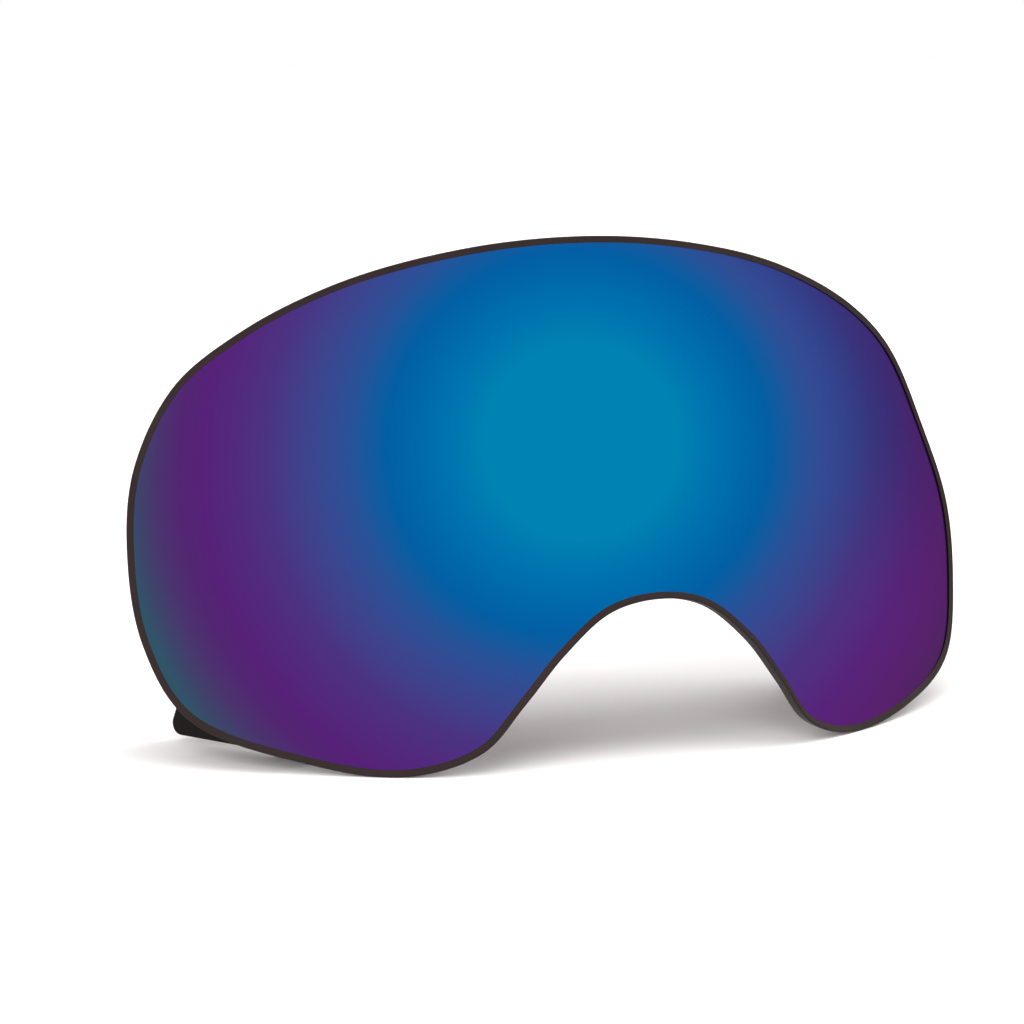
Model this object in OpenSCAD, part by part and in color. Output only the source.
// Interchangeable spherical double lens unit of a pair of ski goggles.
// Outer mirror lens with edge trim, rear carrier frame with magnets and
// locating pegs, foam spacer, inner lens, and a sprung latch at each temple.
// Frame: standing on its two lower lobes and the latch brackets' feet, front is -Y,
// +Z up, +X to the right seen from the front, Z = 0 on the surface it stands on.

/* [Lens body] */
// Radius of the outer spherical face
lens_r = 113; // [112.5:0.5:116]
// Thickness of the outer lens
lens_t = 1.8; // [1.4:0.1:1.8]
// Height of the sphere's centre above the lowest outline station
centre_h = 16.4; // [15:0.1:18]
// Gap between outer and inner lens
air_gap = 2.8; // [2.6:0.1:2.8]
// Thickness of the inner lens
inner_t = 0.8; // [0.6:0.1:0.8]

/* [Outline, half width at each station] */
// Inner brow
brow_in_x = 25.5; // [24:0.5:27]
// Middle of the brow
brow_mid_x = 49.5; // [48:0.5:51]
// Outer brow
brow_out_x = 67; // [66:0.5:68]
// Top of the temple
temple_top_x = 79; // [78:0.5:80]
// Upper temple
temple_up_x = 87.5; // [86.5:0.5:88]
// Widest point
temple_x = 90; // [89:0.5:91]
// Lower temple
temple_low_x = 89; // [88:0.5:90]
// Outer corner of the cheek
cheek_x = 82.5; // [81.5:0.5:83.5]
// Outer side of the lobe
lobe_out_x = 65; // [64:0.5:66]
// Lowest point of the lobe
lobe_x = 47.5; // [46.5:0.5:48.5]
// Inner side of the lobe
lobe_in_x = 34.5; // [34:0.5:35.5]
// Foot of the nose flank
flank_low_x = 27; // [26.5:0.5:27.5]
// Nose flank
flank_x = 19.5; // [19:0.5:20]
// Shoulder of the nose arch
arch_x = 10; // [9.5:0.5:10.5]

/* [Outline, height at each station] */
// Brow on the centre line
brow_z = 98.5; // [97.5:0.5:100]
// Inner brow
brow_in_z = 96.5; // [95.5:0.5:97]
// Middle of the brow
brow_mid_z = 90.5; // [89.5:0.5:91]
// Outer brow
brow_out_z = 81; // [80:0.5:82]
// Top of the temple
temple_top_z = 71; // [70:0.5:72]
// Upper temple
temple_up_z = 55.5; // [54:0.5:57]
// Widest point
temple_z = 39; // [37:0.5:41]
// Lower temple
temple_low_z = 22.5; // [21:0.5:24]
// Outer corner of the cheek
cheek_z = 9.5; // [9:0.5:10.5]
// Outer side of the lobe
lobe_out_z = 2; // [1.5:0.5:3]
// Inner side of the lobe
lobe_in_z = 4.5; // [4:0.5:5]
// Foot of the nose flank
flank_low_z = 13.5; // [13:0.5:14]
// Nose flank
flank_z = 22.5; // [22:0.5:23]
// Shoulder of the nose arch
arch_z = 30; // [29.5:0.5:30.5]
// Top of the nose arch
nose_z = 32; // [31.5:0.5:32.5]

/* [Edge trim] */
// How far the trim's lips reach in over the lens
lip_w = 1.5; // [1.3:0.1:1.8]
// How far the trim stands proud of the lens face
lip_t = 0.8; // [0.6:0.05:0.9]
// Trim depth from front to back
trim_d = 2.4; // [2.3:0.1:2.4]

/* [Carrier] */
// Distance from the outline to the carrier's outer edge
carrier_in = 3; // [2.8:0.1:3.4]
// Width of the carrier ring
carrier_w = 7.4; // [7.2:0.1:7.6]
// Depth of the carrier ring
carrier_d = 3.2; // [3:0.1:3.4]
// Thickness of the bonding tape
tape_t = 0.4; // [0.3:0.1:0.4]
// Radius of one magnet
magnet_r = 2.5; // [2:0.1:2.5]
// Thickness of one magnet
magnet_t = 1.6; // [1.2:0.1:1.8]
// Radius of the locating pegs
peg_r = 1.6; // [1.2:0.1:1.8]
// Length of the locating pegs
peg_l = 3; // [2:0.5:4]

/* [Temple latch] */
// Thickness of the lever plate
lever_t = 2.4; // [2.2:0.1:2.6]
// Distance from the front of the latch frame to the lever's tip
lever_l = 34.2; // [33:0.2:35]
// Height allowed for the lever, a little over its top edge
lever_h = 20; // [18.5:0.5:21]
// Height of the lever's bottom edge
lever_z = 1.4; // [1:0.1:2]
// Radius of the hinge pin
pin_r = 1; // [0.9:0.05:1.1]
// Radius of the hinge barrel
barrel_r = 2.6; // [2.5:0.05:2.7]
// Angle of the lever, swung outward
lever_angle = 0; // [0:1:12]

/* [Hidden] */
sphere_fn = 192;
round_fn = 48;
small_fn = 32;

// Modelling is done with the sphere's centre at the origin; place() moves it here.
centre_y = 81.48;                   // puts the middle of the unit's depth on Y = 0
lobe_drop = 0.22;                   // trim's lowest point under the lobe station
floor_z = -centre_h - lobe_drop;    // standing surface, seen from the sphere's centre

// radii of the spherical faces
r_back = lens_r - lens_t;           // rear face of the outer lens
r_tape = r_back - tape_t;           // carrier's front face
r_car = r_tape - carrier_d;         // carrier's rear face
r_foam = r_back - air_gap;          // inner lens's front face
r_inner = r_foam - inner_t;         // inner lens's rear face

// insets from the outline, along the lens
lens_in = 0.5;                      // outer lens's edge, in the trim's groove
lip_in = 0.45;                      // outer side of the trim's raised lip
opening_in = carrier_in + carrier_w;
mid_in = carrier_in + carrier_w / 2;

// ---------- outline ----------
spline_steps = 5;                   // between two stations
cone_end = 1.16 * lens_r;           // distance of the cones' flat front end

// right half from brow to nose: half width, height, extra carrier width (latch pad)
stations = [
  [0, brow_z, 0],
  [brow_in_x, brow_in_z, 0],
  [brow_mid_x, brow_mid_z, 0],
  [brow_out_x, brow_out_z, 0],
  [temple_top_x, temple_top_z, 0],
  [temple_up_x, temple_up_z, 0],
  [temple_x, temple_z, 1],
  [temple_low_x, temple_low_z, 5],
  [cheek_x, cheek_z, 8],
  [lobe_out_x, lobe_out_z, 9],
  [lobe_x, 0, 4],
  [lobe_in_x, lobe_in_z, 0],
  [flank_low_x, flank_low_z, 0],
  [flank_x, flank_z, 0],
  [arch_x, arch_z, 0],
  [0, nose_z, 0]];

function unit(v) = v / norm(v);
function wrap(loop, i) = loop[(i + len(loop)) % len(loop)];

// closed loop: the right half, then its mirror image
loop_stations = concat(stations, [for (i = [len(stations) - 2:-1:1])
  [-stations[i][0], stations[i][1], stations[i][2]]]);

// a station as a direction from the sphere's centre
function lift(station) = let (x = station[0], z = station[1] - centre_h)
  unit([x, -sqrt(lens_r * lens_r - x * x - z * z), z]);
loop_dirs = [for (station = loop_stations) lift(station)];

// direction along the lens, square to the loop at point i and pointing outward
function outward(loop, i) =
  unit(cross(loop[i], unit(wrap(loop, i + 1) - wrap(loop, i - 1))));

// the loop moved inward along the lens, plus a share of the extra width
function inset_loop(inset, extra = 0) = [for (i = [0:len(loop_dirs) - 1])
  unit(loop_dirs[i]
    - outward(loop_dirs, i) * (inset + extra * loop_stations[i][2]) / lens_r)];
// direction of one station moved inward
function station_dir(i, inset) = inset_loop(inset)[i];

// centripetal spline through a loop of directions
function knot(a, b) = sqrt(norm(b - a));
function hermite(start, start_slope, end, end_slope, u) =
  (2 * u * u * u - 3 * u * u + 1) * start
  + (u * u * u - 2 * u * u + u) * start_slope
  + (3 * u * u - 2 * u * u * u) * end
  + (u * u * u - u * u) * end_slope;
function spline(loop) = [for (i = [0:len(loop) - 1])
  let (before = wrap(loop, i - 1), start = loop[i],
    end = wrap(loop, i + 1), after = wrap(loop, i + 2),
    k1 = knot(before, start), k2 = knot(start, end), k3 = knot(end, after),
    start_slope = k2 * ((start - before) / k1 - (end - before) / (k1 + k2)
      + (end - start) / k2),
    end_slope = k2 * ((end - start) / k2 - (after - start) / (k2 + k3)
      + (after - end) / k3))
  for (k = [0:spline_steps - 1])
    unit(hermite(start, start_slope, end, end_slope, k / spline_steps))];

// ---------- building blocks ----------
// solid cone from the sphere's centre through the inset outline, cut flat in front
module cone(inset, extra = 0) {
  dirs = spline(inset_loop(inset, extra));
  n = len(dirs);
  polyhedron(
    points = concat([[0, 0, 0]], [for (dir = dirs) dir * cone_end / -dir[1]]),
    faces = concat([for (i = [0:n - 1]) [0, 1 + (i + 1) % n, 1 + i]],
      [[for (i = [1:n]) i]]));
}
module shell(outer_r, inner_r) {
  difference() {
    sphere(r = outer_r, $fn = sphere_fn);
    sphere(r = inner_r, $fn = sphere_fn);
  }
}
// children start at the given radius along dir, their +Z pointing away from the centre
module radial(dir, radius) {
  rotate([90 - asin(dir[2]), 0, atan2(dir[0], -dir[1])])
    translate([0, 0, radius]) children();
}
module radial_pairs(dirs, radius) {
  for (dir = dirs, side = [-1, 1])
    radial([side * dir[0], dir[1], dir[2]], radius) children();
}
module place() {
  translate([0, centre_y, -floor_z]) children();
}
module place_left() {
  place() mirror([1, 0, 0]) children();
}

// ---------- outer lens and trim ----------
trim_rise = 0.3;                    // trim body above the lens face
lip_start = 0.1;                    // underside of the lip's layer above the lens face

module lens_body() {
  intersection() {
    shell(lens_r, r_back);
    cone(lens_in);
  }
}
module outer_lens() {
  color([0.10, 0.30, 0.62]) place() lens_body();
}
module edge_trim() {
  color([0.20, 0.15, 0.15]) place() difference() {
    union() {
      intersection() {
        shell(lens_r + trim_rise, lens_r + trim_rise - trim_d);
        cone(0);
      }
      // the lip stands proud, set in from the outer side
      intersection() {
        shell(lens_r + lip_t, lens_r + lip_start);
        cone(lip_in);
      }
    }
    cone(lip_w);
    lens_body();
  }
}

// ---------- carrier, tape and magnets ----------
tape_margin = 0.4;                  // tape's edges inside the carrier's edges
peg_root = 0.6;                     // peg length sunk in the carrier
magnet_sink = 0.15;                 // magnet below the carrier's rear face
pocket_slack = 0.1;                 // room in front of the magnet
pocket_gap = 0.05;                  // room around the magnet
pocket_over = 1;                    // pocket cut past the rear face

brow_dirs = [station_dir(1, mid_in), station_dir(3, mid_in)];
cheek_dirs = [station_dir(10, mid_in + 0.6)];
nose_dirs = [station_dir(14, mid_in)];
brow_peg_dir = station_dir(0, mid_in);
temple_peg_dir = station_dir(6, mid_in);

module bond_tape() {
  color([0.55, 0.55, 0.55]) place() difference() {
    intersection() {
      shell(r_back, r_tape);
      cone(carrier_in + tape_margin);
    }
    cone(opening_in - tape_margin, 1);
  }
}
module peg() {
  cylinder(r = peg_r, h = peg_l + peg_root, $fn = round_fn);
}
module carrier_frame() {
  color([0.11, 0.10, 0.10]) place() difference() {
    union() {
      difference() {
        intersection() {
          shell(r_tape, r_car);
          cone(carrier_in);
        }
        cone(opening_in, 1);
      }
      radial(brow_peg_dir, r_car - peg_l) peg();
      radial_pairs([temple_peg_dir], r_car - peg_l) peg();
    }
    radial_pairs(concat(brow_dirs, cheek_dirs, nose_dirs), r_car - pocket_over)
      cylinder(r = magnet_r + pocket_gap,
        h = magnet_t + magnet_sink + pocket_slack + pocket_over, $fn = round_fn);
    pilot_holes();
    mirror([1, 0, 0]) pilot_holes();
  }
}
magnet_color = [0.72, 0.72, 0.74];
module magnets(dirs) {
  radial_pairs(dirs, r_car + magnet_sink)
    cylinder(r = magnet_r, h = magnet_t, $fn = round_fn);
}
module brow_magnets() { color(magnet_color) place() magnets(brow_dirs); }
module cheek_magnets() { color(magnet_color) place() magnets(cheek_dirs); }
module nose_magnets() { color(magnet_color) place() magnets(nose_dirs); }

// ---------- foam, inner lens and vent ----------
foam_out = 0.4;                     // foam's outer edge, in from the carrier's opening
foam_in = 3.2;                      // foam's inner edge
inner_lens_in = 0.6;                // inner lens's edge
vent_r = 1;
filter_r = 3;
filter_t = 0.4;
vent_dir = unit([66, -90, 44]);     // high on the right

module spacer_foam() {
  color([0.16, 0.16, 0.17]) place() difference() {
    intersection() {
      shell(r_back, r_foam);
      cone(opening_in + foam_out, 1);
    }
    cone(opening_in + foam_in, 1);
  }
}
module inner_lens() {
  color([0.45, 0.42, 0.44]) place() difference() {
    intersection() {
      shell(r_foam, r_inner);
      cone(opening_in + inner_lens_in, 1);
    }
    radial(vent_dir, r_inner - 2) cylinder(r = vent_r, h = 5, $fn = small_fn);
  }
}
module vent_filter() {
  color([0.85, 0.85, 0.84]) place() intersection() {
    shell(r_inner, r_inner - filter_t);
    radial(vent_dir, r_inner - 3) cylinder(r = filter_r, h = 6, $fn = round_fn);
  }
}

// ---------- temple latch, right side; the left is its mirror image ----------
latch_origin = [62.2, -82.3];       // front end of the lever's outer face
latch_heading = 63;
hinge = [5, 3.5];                   // hinge axis in the latch frame
cut_h = 25;                         // tall enough to cut right through

// latch frame: X along the lever to the rear, Y inward, Z up from the floor
module latch() {
  translate([latch_origin[0], latch_origin[1], floor_z])
    rotate([0, 0, latch_heading]) children();
}
module on_hinge(z) {
  translate([hinge[0], hinge[1], z]) children();
}

// Bracket screws: heights are from the carrier's rear face, + is into the carrier.
pad_dir = unit([69.5, -85, -1.6]);
screw_spots = [[6.4, 3.2], [-6.6, 3.6]];
shank_r = 0.75;
head_r = 1.5;
slot_w = 0.4;
slot_l = 1.8;

module at_screws() {
  radial(pad_dir, r_car) for (spot = screw_spots)
    translate([spot[0], spot[1], 0]) children();
}
module pilot_holes() {
  at_screws() translate([0, 0, -2]) cylinder(r = shank_r + 0.05, h = 4.4, $fn = small_fn);
}
// through hole, and a counterbore from behind
module screw_clearance() {
  at_screws() {
    translate([0, 0, -6]) cylinder(r = shank_r + 0.1, h = 12, $fn = small_fn);
    translate([0, 0, -9]) cylinder(r = head_r + 0.2, h = 8, $fn = small_fn);
  }
}
// cross-slotted screws
module screws() {
  at_screws() difference() {
    union() {
      translate([0, 0, -2]) cylinder(r = shank_r, h = 4.1, $fn = small_fn);
      translate([0, 0, -2.1]) cylinder(r = head_r, h = 0.95, $fn = small_fn);
    }
    for (slot = [[slot_w, slot_l], [slot_l, slot_w]])
      translate([-slot[0] / 2, -slot[1] / 2, -2.7]) cube([slot[0], slot[1], 1.05]);
  }
}

// Bracket
pad_t = 2;
pad_size = [18, 12.5];
pad_corner_r = 2.5;
bracket_h = 21.5;
arm_z = 8;                          // underside of the arm from pad to post
arm_outline = [[-4.5, 6], [1.8, 6], [1.8, 0], [-0.5, -9], [-6.5, -7]];
post_corner = [-2.2, 0.9];
post_size = [4, 5.1];
bracket_knuckles = [[0, 4], [17.8, 3.7]];   // base, height
foot_front_y = 5.6;                 // front of the foot, as placed
foot_h = 1;
pin_z = 1.6;

module rounded(width, height, r) {
  square([width - 2 * r, height], center = true);
  square([width, height - 2 * r], center = true);
  for (x = [-1, 1], y = [-1, 1])
    translate([x * (width / 2 - r), y * (height / 2 - r)]) circle(r = r, $fn = small_fn);
}
module bracket() {
  difference() {
    union() {
      intersection() {
        shell(r_car, r_car - pad_t);
        radial(pad_dir, r_car - 8) linear_extrude(12)
          rounded(pad_size[0], pad_size[1], pad_corner_r);
      }
      intersection() {
        sphere(r = r_car - 0.5, $fn = sphere_fn);
        latch() translate([0, 0, arm_z]) linear_extrude(bracket_h - arm_z)
          polygon(arm_outline);
      }
      latch() {
        linear_extrude(bracket_h) translate(post_corner) square(post_size);
        for (knuckle = bracket_knuckles)
          translate([0, 0, knuckle[0]]) linear_extrude(knuckle[1]) {
            translate(hinge) circle(r = barrel_r, $fn = round_fn);
            translate(post_corner) square([hinge[0] - post_corner[0], post_size[1]]);
          }
      }
    }
    latch() on_hinge(pin_z - 0.1) cylinder(r = pin_r + 0.02, h = cut_h, $fn = round_fn);
    // only the rear of the lower knuckle is a foot
    translate([-100, foot_front_y - centre_y - 60, floor_z - 1]) cube([200, 60, 1 + foot_h]);
    screw_clearance();
  }
}
module hinge_pin() {
  latch() on_hinge(pin_z) cylinder(r = pin_r, h = 19.7, $fn = round_fn);
}

// Torsion spring
spring_z = 9.5;
turns = 5.25;
wire_r = 0.22;
coil_r = 1.75;
coil_steps = 18;                    // per turn
coil_pitch = 0.56;
wire_sides = 6;
// centre line of the wire around the hinge axis: leg, coils, leg
spring_path = concat(
  [[coil_r, -4.6, 0]],
  [for (i = [0:turns * coil_steps]) let (angle = 360 * i / coil_steps)
    [coil_r * cos(angle), coil_r * sin(angle), coil_pitch * i / coil_steps]],
  [[3.4, coil_r, coil_pitch * turns]]);

// wire_sides points around point i of the path
function wire_ring(i) =
  let (last = len(spring_path) - 1,
    along = unit(spring_path[min(last, i + 1)] - spring_path[max(0, i - 1)]),
    across = unit(cross(along, [0, 0, 1])),
    up = cross(across, along))
  [for (k = [0:wire_sides - 1]) let (angle = 360 * k / wire_sides)
    spring_path[i] + wire_r * (cos(angle) * across + sin(angle) * up)];

module spring() {
  n = len(spring_path);
  m = wire_sides;
  latch() on_hinge(spring_z) polyhedron(
    points = [for (i = [0:n - 1]) for (point = wire_ring(i)) point],
    faces = concat(
      [[for (k = [0:m - 1]) k]],
      [for (i = [0:n - 2], k = [0:m - 1])
        let (here = i * m, ahead = here + m, next = (k + 1) % m)
        for (face = [[here + k, ahead + k, ahead + next],
          [here + k, ahead + next, here + next]]) face],
      [[for (k = [m - 1:-1:0]) (n - 1) * m + k]]));
}

// Lever
lever_top = lever_h - 0.2;          // plate's top edge
tip_r = 2.2;
tab_r = 4;                          // rounded finger tab
tab_back = 9;                       // its centre, forward of the tip
barrel_z = 4.2;
barrel_h = 13.4;
catch_root = lever_t - 0.2;
grip_start = [13, 8.2];             // along the lever, height
grip_size = [13, 9];
grip_t = 0.6;
rib_r = 0.55;
rib_pitch = 2.1;
rib_margin = 0.4;                   // from the grip's top and bottom

module swing() {
  latch() on_hinge(0) rotate([0, 0, -lever_angle])
    translate([-hinge[0], -hinge[1], 0]) children();
}
module lever() {
  swing() difference() {
    union() {
      // plate with its long tail and rounded finger tab
      translate([0, lever_t, 0]) rotate([90, 0, 0]) linear_extrude(lever_t) hull() {
        translate([6, lever_z]) square([1, lever_top - lever_z]);
        translate([lever_l - tip_r, lever_z + tip_r]) circle(r = tip_r, $fn = round_fn);
        translate([lever_l - tab_back, lever_top - tab_r]) circle(r = tab_r, $fn = round_fn);
      }
      on_hinge(barrel_z) cylinder(r = barrel_r, h = barrel_h, $fn = round_fn);
      translate([hinge[0], 0, barrel_z]) cube([4, barrel_r + hinge[1] - 1.4, barrel_h]);
      // catch on the inner face
      translate([0, 0, 4]) linear_extrude(8)
        polygon([[24, catch_root], [31.4, catch_root], [30.6, 4.6], [29.6, 4.6]]);
    }
    // room for the fixed knuckles, below and above the barrel
    for (z = [-1, barrel_z + barrel_h]) {
      on_hinge(z) cylinder(r = barrel_r + 0.5, h = barrel_z + 1, $fn = round_fn);
      translate([-1, -1, z]) cube([6.4, 9, barrel_z + 1]);
    }
    // pin bore, spring window, and the space in front of the barrel
    on_hinge(0) cylinder(r = pin_r + 0.05, h = cut_h, $fn = round_fn);
    translate([-1, -1, 9]) cube([11.6, 9, 4]);
    translate([-3, -1, 0]) cube([5.2, 9, 30]);
  }
}
// ribbed pad on the lever's outer face
module grip() {
  swing() union() {
    translate([grip_start[0], -grip_t, grip_start[1]])
      cube([grip_size[0], grip_t, grip_size[1]]);
    for (i = [0:5])
      translate([grip_start[0] + 1.4 + i * rib_pitch, -grip_t, grip_start[1] + rib_margin])
        cylinder(r = rib_r, h = grip_size[1] - 2 * rib_margin, $fn = small_fn);
  }
}

bracket_color = [0.12, 0.11, 0.11];
screw_color = [0.45, 0.45, 0.47];
pin_color = [0.70, 0.70, 0.72];
spring_color = [0.60, 0.60, 0.62];
lever_color = [0.12, 0.10, 0.09];
grip_color = [0.20, 0.19, 0.19];
module latch_bracket_left() { color(bracket_color) place_left() bracket(); }
module latch_bracket_right() { color(bracket_color) place() bracket(); }
module bracket_screws_left() { color(screw_color) place_left() screws(); }
module bracket_screws_right() { color(screw_color) place() screws(); }
module hinge_pin_left() { color(pin_color) place_left() hinge_pin(); }
module hinge_pin_right() { color(pin_color) place() hinge_pin(); }
module torsion_spring_left() { color(spring_color) place_left() spring(); }
module torsion_spring_right() { color(spring_color) place() spring(); }
module latch_lever_left() { color(lever_color) place_left() lever(); }
module latch_lever_right() { color(lever_color) place() lever(); }
module lever_grip_left() { color(grip_color) place_left() grip(); }
module lever_grip_right() { color(grip_color) place() grip(); }

outer_lens();
edge_trim();
bond_tape();
carrier_frame();
spacer_foam();
inner_lens();
vent_filter();
brow_magnets();
cheek_magnets();
nose_magnets();
latch_bracket_left();
latch_bracket_right();
bracket_screws_left();
bracket_screws_right();
hinge_pin_left();
hinge_pin_right();
torsion_spring_left();
torsion_spring_right();
latch_lever_left();
latch_lever_right();
lever_grip_left();
lever_grip_right();
